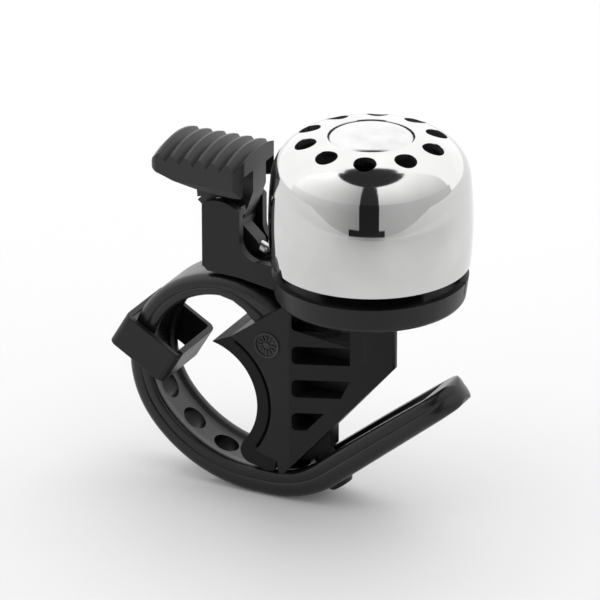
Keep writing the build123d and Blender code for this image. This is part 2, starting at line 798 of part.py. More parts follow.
# ================= strap =================
with BuildPart() as strap:
    extrude(strap_profile(), amount=strap_half_width, both=True)
    # round end of the tail
    tail_middle = (bend_radius + bend_inner_radius) / 2
    tip_centre_x, tip_centre_z = polar(bend_x, bend_z, tail_middle, tail_end_angle)
    tip_centre = Vector(tip_centre_x + tail_length * tail_x, 0, tip_centre_z + tail_length * tail_z)
    tail_plane = Plane(origin=tip_centre, x_dir=(tail_x, 0, tail_z), z_dir=(-tail_z, 0, tail_x))
    with BuildSketch(tail_plane):
        with Locations((strap_half_width / 2 + 1, 0)):
            Rectangle(strap_half_width + 2, 2 * strap_half_width + 2)
        Circle(strap_half_width, mode=Mode.SUBTRACT)
    extrude(amount=6, both=True, mode=Mode.SUBTRACT)
    # shallow channel along the inner face, between two beads
    with BuildSketch(side_plane(0)):
        with BuildLine():
            low_start, low_end = face_line(-1.0, 118, tail_length + 0.5)
            high_start, high_end = face_line(strap_recess, 118, tail_length + 0.5)
            Line(low_start, high_start)
            Line(low_end, high_end)
        make_face()
    extrude(amount=strap_recess_half, both=True, mode=Mode.SUBTRACT)
    # adjusting holes through the belly, and the one on the peg
    hole_places = [(inner_x, inner_z, inner_radius, angle) for angle in (212.8, 231.1, 249.3, 267.6)]
    hole_places += [(bend_x, bend_z, bend_inner_radius, angle) for angle in (281.5, peg_angle)]
    for cx, cz, radius, angle in hole_places:
        outward = Vector(cos(radians(angle)), 0, sin(radians(angle)))
        with BuildSketch(Plane(origin=Vector(cx, 0, cz) + outward * (radius - 2), z_dir=outward)):
            Circle(strap_hole_radius)
        extrude(amount=10, mode=Mode.SUBTRACT)
    with BuildSketch(side_plane(strap_half_width)):
        with Locations((emblem_x, emblem_z)):
            Circle(anchor_pin_radius)
    extrude(amount=2 * strap_half_width, mode=Mode.SUBTRACT)
finish(strap.part, "strap")

# ================= keeper =================
keeper_in = Vector(-cos(radians(keeper_angle)), 0, -sin(radians(keeper_angle)))
keeper_along = Vector(keeper_in.Z, 0, -keeper_in.X)
keeper_middle = Vector(keeper_x, 0, keeper_z) + keeper_in * (keeper_depth / 2)

with BuildPart() as strap_keeper:
    with BuildSketch(Plane(origin=keeper_middle, x_dir=keeper_in, z_dir=keeper_along)):
        RectangleRounded(keeper_depth, 2 * keeper_half_width, 1.4)
        RectangleRounded(
            keeper_depth - 2 * keeper_wall, 2 * (keeper_half_width - keeper_wall), 0.6, mode=Mode.SUBTRACT
        )
    extrude(amount=keeper_width / 2, both=True)
    with BuildSketch(side_plane(-keeper_half_width + keeper_wall)):
        with Locations(Vector(keeper_middle.X, keeper_middle.Z) + Vector(keeper_in.X, keeper_in.Z) * 6.0):
            Rectangle(4.6, keeper_width + 2, rotation=keeper_angle - 180)
    extrude(amount=-keeper_slit, mode=Mode.SUBTRACT)
finish(strap_keeper.part, "strap_keeper")
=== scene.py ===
import math

import bmesh
import bpy
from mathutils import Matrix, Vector


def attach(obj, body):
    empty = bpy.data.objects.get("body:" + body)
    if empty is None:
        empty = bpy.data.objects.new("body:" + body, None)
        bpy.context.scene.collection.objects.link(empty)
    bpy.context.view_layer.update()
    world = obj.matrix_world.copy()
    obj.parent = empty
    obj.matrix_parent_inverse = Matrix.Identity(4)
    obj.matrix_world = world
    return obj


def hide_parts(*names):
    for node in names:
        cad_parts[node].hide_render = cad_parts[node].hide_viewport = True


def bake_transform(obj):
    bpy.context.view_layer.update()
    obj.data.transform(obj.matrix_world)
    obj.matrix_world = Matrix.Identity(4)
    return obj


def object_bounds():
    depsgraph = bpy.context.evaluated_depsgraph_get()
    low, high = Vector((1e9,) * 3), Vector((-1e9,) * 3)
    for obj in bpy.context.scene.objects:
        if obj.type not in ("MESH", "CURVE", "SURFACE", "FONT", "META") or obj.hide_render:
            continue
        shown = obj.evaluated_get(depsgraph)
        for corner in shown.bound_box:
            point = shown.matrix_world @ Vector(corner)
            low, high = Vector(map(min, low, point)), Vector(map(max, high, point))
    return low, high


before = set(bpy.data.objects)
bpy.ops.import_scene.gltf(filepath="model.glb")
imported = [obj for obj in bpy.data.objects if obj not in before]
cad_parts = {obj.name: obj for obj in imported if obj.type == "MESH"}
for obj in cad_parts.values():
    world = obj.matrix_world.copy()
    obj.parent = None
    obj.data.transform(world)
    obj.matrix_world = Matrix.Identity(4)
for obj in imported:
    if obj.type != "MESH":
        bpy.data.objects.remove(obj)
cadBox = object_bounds()
print("frame loaded:", len(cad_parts), "nodes")

mm = 0.001
bellX = 29.85  # dome axis, mm from the handlebar's axis
rimZ = 29.0


# shader maths
class Wire:
    def __init__(self, maker, socket):
        self.maker = maker
        self.socket = socket

    def maths(self, operation, first, second):
        return self.maker.add("ShaderNodeMath", {"operation": operation}, {0: first, 1: second})

    def __add__(self, other):
        return self.maths("ADD", self, other)

    def __radd__(self, other):
        return self.maths("ADD", other, self)

    def __mul__(self, other):
        return self.maths("MULTIPLY", self, other)

    def __rmul__(self, other):
        return self.maths("MULTIPLY", other, self)


class Finish:
    def __init__(self, name):
        self.material = bpy.data.materials.new(name)
        self.material.use_nodes = True
        self.tree = self.material.node_tree
        self.shader = self.tree.nodes["Principled BSDF"]
        self.where = self.add("ShaderNodeTexCoord", {}, {}, "Object")

    def add(self, kind, settings, inputs, output=0):
        node = self.tree.nodes.new(kind)
        for key, value in settings.items():
            if key == "stops":
                ramp = node.color_ramp
                while len(ramp.elements) < len(value):
                    ramp.elements.new(0.5)
                for element, (place, colour) in zip(ramp.elements, value):
                    element.position = place
                    element.color = colour
            else:
                setattr(node, key, value)
        for key, value in inputs.items():
            if isinstance(value, Wire):
                self.tree.links.new(value.socket, node.inputs[key])
            else:
                node.inputs[key].default_value = value
        return Wire(self, node.outputs[output])

    def feed(self, name, value):
        if isinstance(value, Wire):
            self.tree.links.new(value.socket, self.shader.inputs[name])
        else:
            self.shader.inputs[name].default_value = value

    def noise(self, size, detail=2.0, rough=0.5):
        place = self.add("ShaderNodeMapping", {}, {"Vector": self.where, "Scale": (1 / (size * mm),) * 3})
        return self.add(
            "ShaderNodeTexNoise", {}, {"Vector": place, "Scale": 1.0, "Detail": detail, "Roughness": rough}
        )

    def between(self, wire, low, high):
        return self.add(
            "ShaderNodeMapRange", {},
            {"Value": wire, "From Min": 0.3, "From Max": 0.7, "To Min": low, "To Max": high},
        )

    def mix(self, factor, first, second):
        return self.add(
            "ShaderNodeMix", {"data_type": "RGBA"}, {"Factor": factor, 6: first, 7: second}, 2
        )

    def bump(self, height, depth):
        return self.add("ShaderNodeBump", {}, {"Height": height, "Distance": depth * mm, "Strength": 1.0})


def mouldedFinish(name, look):
    finish = Finish(name)
    cloud = finish.noise(look["cloudSize"], 3.0)
    grain = finish.noise(look["grainSize"], 2.0, 0.6)
    speck = finish.noise(look["grainSize"] * 0.4, 1.0)
    dark = (*look["dark"], 1)
    light = (*look["light"], 1)
    tone = finish.between(cloud * 0.6 + grain * 0.4, 0.0, 1.0)
    finish.feed("Base Color", finish.mix(tone, dark, light))
    finish.feed("Roughness", finish.between(cloud * 0.5 + speck * 0.5, look["smooth"], look["rough"]))
    finish.feed("Normal", finish.bump(grain * 0.7 + speck * 0.3, look["grainDepth"]))
    finish.feed("Specular IOR Level", look["shine"])
    return finish.material


def metalFinish(name, look):
    finish = Finish(name)
    cloud = finish.noise(look["cloudSize"], 3.0)
    place = finish.add("ShaderNodeMapping", {}, {"Vector": finish.where, "Scale": look["brushScale"]})
    brush = finish.add("ShaderNodeTexNoise", {}, {"Vector": place, "Scale": 1.0, "Detail": 3.0})
    tone = finish.between(cloud, 0.0, 1.0)
    finish.feed("Base Color", finish.mix(tone, (*look["dark"], 1), (*look["light"], 1)))
    finish.feed("Roughness", finish.between(cloud * 0.4 + brush * 0.6, look["smooth"], look["rough"]))
    finish.feed("Metallic", 1.0)
    finish.feed("Normal", finish.bump(brush, look["brushDepth"]))
    return finish.material


plasticLook = {
    "cloudSize": 9.0, "grainSize": 0.22, "grainDepth": 0.012, "shine": 0.3,
    "dark": (0.006, 0.006, 0.007), "light": (0.013, 0.013, 0.014), "smooth": 0.3, "rough": 0.46,
}
housingPlastic = mouldedFinish("satinBlackPlastic", plasticLook)
bracketPlastic = mouldedFinish("grainedBlackPlastic", {
    **plasticLook, "grainSize": 0.3, "grainDepth": 0.03, "shine": 0.26, "smooth": 0.36, "rough": 0.52,
})
leverPlastic = mouldedFinish("thumbPadPlastic", {
    **plasticLook, "dark": (0.012, 0.012, 0.013), "light": (0.024, 0.024, 0.026),
    "shine": 0.4, "smooth": 0.3, "rough": 0.5,
})
strapRubber = mouldedFinish("strapRubber", {
    "cloudSize": 6.0, "grainSize": 0.25, "grainDepth": 0.015, "shine": 0.42,
    "dark": (0.004, 0.004, 0.005), "light": (0.010, 0.010, 0.011), "smooth": 0.2, "rough": 0.34,
})
padRubber = mouldedFinish("saddleRubber", {
    "cloudSize": 5.0, "grainSize": 0.3, "grainDepth": 0.02, "shine": 0.16,
    "dark": (0.004, 0.004, 0.005), "light": (0.010, 0.010, 0.011), "smooth": 0.4, "rough": 0.65,
})
badgePlastic = mouldedFinish("badgePlastic", {**plasticLook, "dark": (0.006, 0.006, 0.007),
                                              "light": (0.05, 0.05, 0.052), "grainSize": 0.18})
screwSteel = metalFinish("zincedSteel", {
    "cloudSize": 3.0, "brushScale": (4000, 4000, 400), "brushDepth": 0.004,
    "dark": (0.5, 0.5, 0.51), "light": (0.68, 0.68, 0.69), "smooth": 0.18, "rough": 0.36,
})
springSteel = metalFinish("springSteel", {
    "cloudSize": 2.0, "brushScale": (3000, 3000, 3000), "brushDepth": 0.003,
    "dark": (0.35, 0.35, 0.37), "light": (0.55, 0.55, 0.57), "smooth": 0.2, "rough": 0.35,
})
insertBrass = metalFinish("turnedBrass", {
    "cloudSize": 3.0, "brushScale": (500, 500, 6000), "brushDepth": 0.004,
    "dark": (0.62, 0.43, 0.16), "light": (0.8, 0.6, 0.28), "smooth": 0.2, "rough": 0.35,
})
# unpolished steel for the dome's inside, its base colour darkened well below bare steel as painted shade
# inside the dome and down the vent bores
unpolishedShadedSteel = metalFinish("domeInsideShadedSteel", {
    "cloudSize": 4.0, "brushScale": (900, 900, 900), "brushDepth": 0.006,
    "dark": (0.10, 0.10, 0.10), "light": (0.18, 0.18, 0.18), "smooth": 0.4, "rough": 0.6,
})
capSteel = metalFinish("brushedCap", {
    "cloudSize": 4.0, "brushScale": (5200, 5200, 900), "brushDepth": 0.0035,
    "dark": (0.58, 0.58, 0.58), "light": (0.68, 0.68, 0.68), "smooth": 0.16, "rough": 0.3,
})


def polishedDome():
    finish = Finish("polishedSteel")
    cloud = finish.noise(7.0, 3.0)
    haze = finish.noise(0.25, 2.0)
    height = finish.add("ShaderNodeSeparateXYZ", {}, {"Vector": finish.where}, "Z")
    crown = finish.add(
        "ShaderNodeMapRange", {"interpolation_type": "SMOOTHSTEP"},
        {"Value": height, "From Min": 0.046, "From Max": 0.0515, "To Min": 0.0, "To Max": 1.0},
    )
    wave = finish.noise(16.0, 1.0)
    tone = finish.between(cloud, 0.0, 1.0)
    finish.feed("Base Color", finish.mix(tone, (0.60, 0.60, 0.595, 1), (0.66, 0.66, 0.655, 1)))
    finish.feed("Roughness", finish.between(cloud, 0.02, 0.05) + crown * haze * 0.16)
    finish.feed("Metallic", 1.0)
    finish.feed("Normal", finish.bump(wave + crown * haze * 0.02, 0.05))
    return finish.material


domeSteel = polishedDome()
print("finishes made")


# mesh helpers
def emptyObject(name):
    mesh = bpy.data.meshes.new(name)
    piece = bpy.data.objects.new(name, mesh)
    bpy.context.scene.collection.objects.link(piece)
    return piece


def fromBmesh(name, bm, material):
    piece = emptyObject(name)
    bm.to_mesh(piece.data)
    bm.free()
    piece.data.materials.append(material)
    return piece


def bake(piece):
    # turns live modifiers into a plain mesh
    graph = bpy.context.evaluated_depsgraph_get()
    mesh = bpy.data.meshes.new_from_object(piece.evaluated_get(graph))
    piece.modifiers.clear()
    piece.data = mesh
    return piece


def smooth(piece, angle):
    piece.data.polygons.foreach_set("use_smooth", [True] * len(piece.data.polygons))
    piece.data.set_sharp_from_angle(angle=math.radians(angle))


def place(piece, body, slot, node):
    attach(piece, body)
    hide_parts(node)


def softCopy(node, name, material, width, segments=3, angle=32):
    # merged copy of a solid with its edges rounded over
    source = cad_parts[node]
    bm = bmesh.new()
    bm.from_mesh(source.data)
    bmesh.ops.remove_doubles(bm, verts=bm.verts, dist=2e-6)
    bmesh.ops.dissolve_limit(bm, angle_limit=math.radians(0.8), verts=bm.verts, edges=bm.edges)
    piece = fromBmesh(name, bm, material)
    smooth(piece, angle)
    bevel = piece.modifiers.new("roundOver", "BEVEL")
    bevel.width = width * mm
    bevel.segments = segments
    bevel.limit_method = "ANGLE"
    bevel.angle_limit = math.radians(angle)
    bevel.harden_normals = False
    bevel.miter_outer = "MITER_ARC"
    weighted = piece.modifiers.new("weighted", "WEIGHTED_NORMAL")
    weighted.keep_sharp = True
    bake(piece)
    return piece


def lathe(name, outline, steps, material):
    # closed outline of (radius, z) in mm, spun round the bell's axis
    bm = bmesh.new()
    rings = []
    for radius, z in outline:
        if radius < 1e-6:
            rings.append([bm.verts.new((bellX * mm, 0, z * mm))])
            continue
        ring = []
        for step in range(steps):
            turn = 2 * math.pi * step / steps
            x, y = bellX + radius * math.cos(turn), radius * math.sin(turn)
            ring.append(bm.verts.new((x * mm, y * mm, z * mm)))
        rings.append(ring)
    closed = outline[0][0] > 1e-6
    last = len(rings) if closed else len(rings) - 1
    for index in range(last):
        a, b = rings[index], rings[(index + 1) % len(rings)]
        for step in range(steps):
            after = (step + 1) % steps
            if len(a) == 1:
                bm.faces.new((a[0], b[after], b[step]))
            elif len(b) == 1:
                bm.faces.new((a[step], a[after], b[0]))
            else:
                bm.faces.new((a[step], a[after], b[after], b[step]))
    bmesh.ops.recalc_face_normals(bm, faces=bm.faces)
    return fromBmesh(name, bm, material)


def arc(cx, cz, radius, start, end, count):
    turns = [math.radians(start + (end - start) * i / count) for i in range(count + 1)]
    return [(cx + radius * math.cos(t), cz + radius * math.sin(t)) for t in turns]


# geometry node trees
class Nodes:
    def __init__(self, name, inputs):
        self.tree = bpy.data.node_groups.new(name, "GeometryNodeTree")
        self.tree.interface.new_socket("Geometry", in_out="INPUT", socket_type="NodeSocketGeometry")
        self.keys = {}
        for label, kind in inputs.items():
            item = self.tree.interface.new_socket(label, in_out="INPUT", socket_type="NodeSocket" + kind)
            self.keys[label] = item.identifier
        self.tree.interface.new_socket("Geometry", in_out="OUTPUT", socket_type="NodeSocketGeometry")
        self.start = self.tree.nodes.new("NodeGroupInput")
        self.end = self.tree.nodes.new("NodeGroupOutput")

    def given(self, label):
        return self.start.outputs[label]

    def add(self, kind, settings, inputs, output=0):
        node = self.tree.nodes.new(kind)
        for key, value in settings.items():
            setattr(node, key, value)
        for key, value in inputs.items():
            if isinstance(value, bpy.types.NodeSocket):
                self.tree.links.new(value, node.inputs[key])
            else:
                node.inputs[key].default_value = value
        return node.outputs[output]

    def close(self, geometry):
        real = self.add("GeometryNodeRealizeInstances", {}, {0: geometry})
        dressed = self.add("GeometryNodeSetMaterial", {}, {0: real, "Material": self.given("Material")})
        self.tree.links.new(dressed, self.end.inputs[0])

    def run(self, piece, values):
        modifier = piece.modifiers.new(self.tree.name, "NODES")
        modifier.node_group = self.tree
        for label, value in values.items():
            modifier[self.keys[label]] = value
        return bake(piece)


def punchTree():
    # bores a hole, with an optional flared mouth, at each point of a guide mesh along the point's normal
    kit = Nodes("punchedHoles", {"Guide": "Object", "Hole Radius": "Float", "Depth": "Float", "Lip": "Float",
                                 "Sides": "Int", "Material": "Material"})
    guide = kit.add("GeometryNodeObjectInfo", {"transform_space": "ORIGINAL"}, {"Object": kit.given("Guide")},
                    "Geometry")
    drill = kit.add("GeometryNodeMeshCylinder", {}, {
        "Vertices": kit.given("Sides"), "Radius": kit.given("Hole Radius"),
        "Depth": kit.given("Depth")}, "Mesh")
    flareTop = kit.add("ShaderNodeMath", {"operation": "ADD"},
                       {0: kit.given("Hole Radius"), 1: kit.given("Lip")})
    flare = kit.add("GeometryNodeMeshCone", {}, {
        "Vertices": kit.given("Sides"), "Radius Top": flareTop, "Radius Bottom": kit.given("Hole Radius"),
        "Depth": kit.given("Lip")}, "Mesh")
    facing = kit.add("GeometryNodeInputNamedAttribute", {"data_type": "FLOAT_VECTOR"}, {"Name": "facing"})
    turn = kit.add("FunctionNodeAlignRotationToVector", {"axis": "Z"}, {"Vector": facing})
    drills = kit.add("GeometryNodeInstanceOnPoints", {},
                     {"Points": guide, "Instance": drill, "Rotation": turn})
    flares = kit.add("GeometryNodeInstanceOnPoints", {},
                     {"Points": guide, "Instance": flare, "Rotation": turn})
    drillSet = kit.add("GeometryNodeRealizeInstances", {}, {0: drills})
    flareSet = kit.add("GeometryNodeRealizeInstances", {}, {0: flares})
    bored = kit.add("GeometryNodeMeshBoolean", {"operation": "DIFFERENCE", "solver": "EXACT"},
                    {"Mesh 1": kit.given("Geometry"), "Mesh 2": drillSet}, "Mesh")
    opened = kit.add("GeometryNodeMeshBoolean", {"operation": "DIFFERENCE", "solver": "EXACT"},
                     {"Mesh 1": bored, "Mesh 2": flareSet}, "Mesh")
    kit.close(opened)
    return kit


punch = punchTree()


def guidePoints(name, places):
    # loose points with the direction that each hole faces
    guide = emptyObject(name)
    guide.data.from_pydata([p for p, n in places], [], [])
    facing = guide.data.attributes.new("facing", "FLOAT_VECTOR", "POINT")
    facing.data.foreach_set("vector", [v for p, n in places for v in n])
    return guide


# dome and cap
dome = {
    "radius": 18.0, "wall": 1.1, "crownRadius": 120.0, "crownZ": rimZ + 23.75, "shoulder": 8.2,
    "wallRadius": 80.0, "waistZ": rimZ + 7.5,
    "capRadius": 7.65, "capDepth": 0.7, "wellRadius": 3.3, "wellDepth": 2.0, "plate": 1.2, "cup": 4.6,
    "ventCount": 10, "ventRadius": 2.0, "ventRing": 11.75, "ventTurn": 1.9, "lip": 0.3, "boltRadius": 1.65,
    "shellSteps": 240, "capSteps": 160, "ventSides": 64, "drillDepth": 6, "unpolishedShadeDepth": 0.4,
}
crownCentreZ = dome["crownZ"] - dome["crownRadius"]
wallX = dome["radius"] - dome["wallRadius"]
# the shoulder's centre, where its arc touches both the crown's and the wall's
centreGap = math.hypot(wallX, dome["waistZ"] - crownCentreZ)
crownReach = dome["crownRadius"] - dome["shoulder"]
crownShare = (crownReach**2 - (dome["wallRadius"] - dome["shoulder"]) ** 2 + centreGap**2) / (2 * centreGap)
offset = math.sqrt(crownReach**2 - crownShare**2)
gapX, gapZ = wallX / centreGap, (dome["waistZ"] - crownCentreZ) / centreGap
shoulderX = crownShare * gapX + offset * gapZ
shoulderZ = crownCentreZ + crownShare * gapZ - offset * gapX
shoulderAngle = math.degrees(math.atan2(shoulderZ - crownCentreZ, shoulderX))
wallAngle = math.degrees(math.atan2(shoulderZ - dome["waistZ"], shoulderX - wallX))
capSeatZ = crownCentreZ + math.sqrt(dome["crownRadius"] ** 2 - dome["capRadius"] ** 2) - dome["capDepth"]
cupZ = capSeatZ - dome["wellDepth"] - dome["plate"]


def domeOutline():
    outerStart = math.degrees(math.acos((dome["capRadius"] + 0.12) / dome["crownRadius"]))
    outer = arc(0, crownCentreZ, dome["crownRadius"], outerStart, shoulderAngle, 10)
    outer += arc(shoulderX, shoulderZ, dome["shoulder"], shoulderAngle, wallAngle, 30)[1:]
    rimAngle = math.degrees(math.asin((rimZ + 0.3 - dome["waistZ"]) / dome["wallRadius"]))
    outer += arc(wallX, dome["waistZ"], dome["wallRadius"], wallAngle, rimAngle, 12)[1:]
    outer += arc(outer[-1][0] - 0.3, rimZ + 0.3, 0.3, 0, -90, 5)[1:]
    innerWall = arc(wallX, dome["waistZ"], dome["wallRadius"] - dome["wall"], rimAngle, wallAngle, 8)
    inner = arc(innerWall[0][0] + 0.2, rimZ + 0.2, 0.2, -90, -180, 3)
    inner += innerWall[1:]
    inner += arc(shoulderX, shoulderZ, dome["shoulder"] - dome["wall"], wallAngle, shoulderAngle, 16)[1:]
    plateZ = capSeatZ - dome["plate"]
    innerEnd = math.degrees(math.acos((dome["capRadius"] + 0.6) / (dome["crownRadius"] - dome["wall"])))
    inner += arc(0, crownCentreZ, dome["crownRadius"] - dome["wall"], shoulderAngle, innerEnd, 5)[1:]
    seat = [(dome["capRadius"] + 0.6, plateZ), (dome["cup"] + 0.2, plateZ), (dome["cup"], plateZ - 0.2)]
    seat += [(dome["cup"], cupZ), (dome["boltRadius"], cupZ)]
    seat += [(dome["boltRadius"], capSeatZ - dome["wellDepth"])]
    seat += [(dome["wellRadius"], capSeatZ - dome["wellDepth"]), (dome["wellRadius"], capSeatZ)]
    seat += [(dome["capRadius"], capSeatZ), (dome["capRadius"], outer[0][1] - 0.12)]
    return outer + inner + seat


bellShell = lathe("bellShell", domeOutline(), dome["shellSteps"], domeSteel)
ventSlope = math.acos((dome["ventRing"] - shoulderX) / dome["shoulder"])
ventZ = shoulderZ + dome["shoulder"] * math.sin(ventSlope)
ventPlaces = []
for index in range(dome["ventCount"]):
    turn = math.radians(360 / dome["ventCount"] * index + dome["ventTurn"])
    level = math.cos(ventSlope)
    out = Vector((level * math.cos(turn), level * math.sin(turn), math.sin(ventSlope)))
    foot = Vector((bellX + dome["ventRing"] * math.cos(turn), dome["ventRing"] * math.sin(turn), ventZ))
    ventPlaces.append(((foot - out * (dome["lip"] / 2 - 0.01)) * mm, out))
ventGuide = guidePoints("ventGuide", ventPlaces)
punch.run(bellShell, {
    "Guide": ventGuide, "Hole Radius": dome["ventRadius"] * mm, "Depth": dome["drillDepth"] * mm,
    "Lip": dome["lip"] * mm, "Sides": dome["ventSides"], "Material": domeSteel,
})
bpy.data.objects.remove(ventGuide)


def depthInside(point):
    # mm below the dome's outer face
    across = math.hypot(point.x / mm - bellX, point.y / mm)
    height = point.z / mm
    if math.degrees(math.atan2(height - crownCentreZ, across)) > shoulderAngle:
        return dome["crownRadius"] - math.hypot(across, height - crownCentreZ)
    if math.degrees(math.atan2(height - shoulderZ, across - shoulderX)) > wallAngle:
        return dome["shoulder"] - math.hypot(across - shoulderX, height - shoulderZ)
    return dome["wallRadius"] - math.hypot(across - wallX, height - dome["waistZ"])


# faces deeper than the shade depth below the outer face take the unpolished steel, whose dark base colour is
# painted shade inside the dome and in the vent bores
bellShell.data.materials.append(unpolishedShadedSteel)
for face in bellShell.data.polygons:
    face.material_index = 1 if depthInside(face.center) > dome["unpolishedShadeDepth"] else 0
smooth(bellShell, 30)
place(bellShell, "frame", "chrome_dome", "bell_dome")

capTop = capSeatZ + 1.35
capOutline = [(0.0, capTop), (1.2, capTop - 0.015), (2.4, capTop - 0.06)]
capOutline += [(3.6, capTop - 0.14), (4.7, capTop - 0.24)]
capOutline += [(5.6, capTop - 0.33), (6.2, capTop - 0.42), (6.7, capTop - 0.53), (7.1, capTop - 0.75)]
capOutline += [(7.42, capTop - 0.98), (7.56, capSeatZ + 0.2), (7.58, capSeatZ + 0.1), (7.54, capSeatZ)]
capOutline += [(dome["wellRadius"] + 0.05, capSeatZ), (dome["wellRadius"], capSeatZ + 0.05)]
capOutline += [(dome["wellRadius"], capSeatZ + 0.5), (0.0, capSeatZ + 0.5)]
capButton = lathe("capButton", capOutline, dome["capSteps"], capSteel)
smooth(capButton, 40)
place(capButton, "frame", "chrome_cap", "dome_cap")
print("dome and cap made")

# moulded pieces
mouldings = {
    "bell_base": ("baseDish", "frame", housingPlastic, "plastic_base", 0.22),
    "thumb_lever": ("thumbLever", "lever", leverPlastic, "plastic_lever", 0.22),
    "bracket_body": ("bracket", "frame", bracketPlastic, "plastic_bracket", 0.18),
    "saddle_pad": ("saddlePad", "frame", padRubber, "rubber_pad", 0.3),
    "strap_keeper": ("keeperLoop", "keeper", housingPlastic, "plastic_keeper", 0.25),
    "emblem_disc": ("badge", "frame", badgePlastic, "plastic_emblem", 0.06),
}
for node, (name, body, material, slot, width) in mouldings.items():
    place(softCopy(node, name, material, width), body, slot, node)
print("moulded pieces made")

# strap
strapLook = {
    "loop": (3.4, 3.8, 19.1), "innerRise": 0.67, "innerRadius": 14.6, "belly": (9.9, 9.2), "bendX": 12.6,
    "bendRadius": 20.3, "tailAngle": 39.5, "tailLength": 24.8, "halfWidth": 5.9, "channelHalf": 3.9,
    "channelDepth": 0.9, "tipThinning": 0.8, "edgeRadius": 1.7, "beadRadius": 0.95, "holeRadius": 2.4,
    "drillDepth": 16, "lip": 0.3, "holeSides": 40, "tipRounding": 1.4,
}
loopX, loopZ, loopRadius = strapLook["loop"]
bellyX, bellyZ = strapLook["belly"]
reach = math.hypot(bellyX - loopX, bellyZ - loopZ)
joinAngle = math.degrees(math.atan2(bellyZ - loopZ, bellyX - loopX)) + 180
innerReach = reach - 0.39
innerX = loopX + innerReach * math.cos(math.radians(joinAngle - 180))
innerZ = loopZ + strapLook["innerRise"] + innerReach * math.sin(math.radians(joinAngle - 180))
innerRadius = strapLook["innerRadius"] + innerReach
bellyRadius = loopRadius + reach
bendX = strapLook["bendX"]
bendZ = bellyZ - bellyRadius + strapLook["bendRadius"]
bendInner = bendZ - innerZ + innerRadius
tailDir = (math.cos(math.radians(strapLook["tailAngle"])), math.sin(math.radians(strapLook["tailAngle"])))
tipRun = strapLook["tailLength"]


def strapStations():
    # pairs of points on the outer and the inner face, with the width and channel at each
    pairs = []
    root = [((2.89, 19.06), 92), ((5.4, 18.5), 82), ((7.6, 17.2), 72), ((9.8, 15.2), 60), ((10.2, 12.6), 48)]
    for inner, angle in reversed(root):
        outer = arc(loopX, loopZ, loopRadius, angle, angle, 1)[0]
        pairs.append([outer, inner, 1.0, 0.0, 0.0])
    innerLoop = arc(loopX, loopZ + strapLook["innerRise"], strapLook["innerRadius"], 92, joinAngle, 72)
    for outer, inner in list(zip(arc(loopX, loopZ, loopRadius, 92, joinAngle, 72), innerLoop))[1:]:
        pairs.append([outer, inner, 1.0, 1.0, 0.0])
    for outer, inner in list(zip(arc(bellyX, bellyZ, bellyRadius, joinAngle, 270, 30),
                                 arc(innerX, innerZ, innerRadius, joinAngle, 270, 30)))[1:]:
        pairs.append([outer, inner, 1.0, 1.0, 0.0])
    for outer, inner in zip(arc(bendX, bendZ, strapLook["bendRadius"], 270, 270 + strapLook["tailAngle"], 24),
                            arc(bendX, bendZ, bendInner, 270, 270 + strapLook["tailAngle"], 24)):
        pairs.append([outer, inner, 1.0, 1.0, 0.0])
    outerEnd, innerEnd = pairs[-1][0], pairs[-1][1]
    half, rounding = strapLook["halfWidth"], strapLook["tipRounding"]
    runs = [tipRun * i / 16 for i in range(1, 17)]
    runs += [tipRun + half * math.sin(math.radians(90 * i / 16)) for i in range(1, 17)]
    for run in runs:
        outer = (outerEnd[0] + run * tailDir[0], outerEnd[1] + run * tailDir[1])
        thin = strapLook["tipThinning"] * (run / (tipRun + half)) ** 1.5
        inner = (
            innerEnd[0] + run * tailDir[0] + thin * tailDir[1],
            innerEnd[1] + run * tailDir[1] - thin * tailDir[0],
        )
        past = max(0.0, run - tipRun)
        width = math.sqrt(max(0.0, 1 - (past / half) ** 2))
        left = tipRun + half - run
        inset = 0.0
        if left < rounding:
            inset = rounding - math.sqrt(max(0.0, rounding**2 - (rounding - left) ** 2))
        pairs.append([outer, inner, max(width, 0.02), 1.0, inset])
    # the channel fades in after the root and out before the tip
    for index, pair in enumerate(pairs):
        angle = math.degrees(math.atan2(pair[0][1] - loopZ, pair[0][0] - loopX)) % 360
        if index < 60 and angle < 118:
            pair[3] = max(0.0, min(1.0, (angle - 112) / 6))
    for pair, run in zip(pairs[-32:], runs):
        pair[3] = max(0.0, min(1.0, (tipRun + 1.2 - run) / 1.6))
    return pairs


def strapSection(depth, channel):
    # half of the cross-section from the middle of the inner face round to the middle of the outer face
    half, bead, edge = strapLook["halfWidth"], strapLook["beadRadius"], strapLook["edgeRadius"]
    floor = strapLook["channelDepth"] * channel
    inner = strapLook["channelHalf"]
    points = [(0.0, floor), (inner * 0.5, floor), (inner - 0.45, floor), (inner - 0.12, floor * 0.86)]
    points += [(inner + 0.05, floor * 0.5), (inner + 0.2, floor * 0.14), (inner + 0.5, 0.0)]
    points += [(half - bead + bead * math.sin(t), bead - bead * math.cos(t))
               for t in [math.radians(v) for v in (0, 18, 36, 54, 72, 90)]]
    groove = depth * 0.42
    points += [(half, groove - 0.34), (half - 0.05, groove - 0.2), (half - 0.2, groove)]
    points += [(half - 0.05, groove + 0.2), (half, groove + 0.34)]
    points += [(half - edge + edge * math.cos(t), depth - edge + edge * math.sin(t))
               for t in [math.radians(v) for v in (0, 15, 30, 45, 60, 75, 90)]]
    points += [(half * 0.4, depth), (0.0, depth)]
    return points


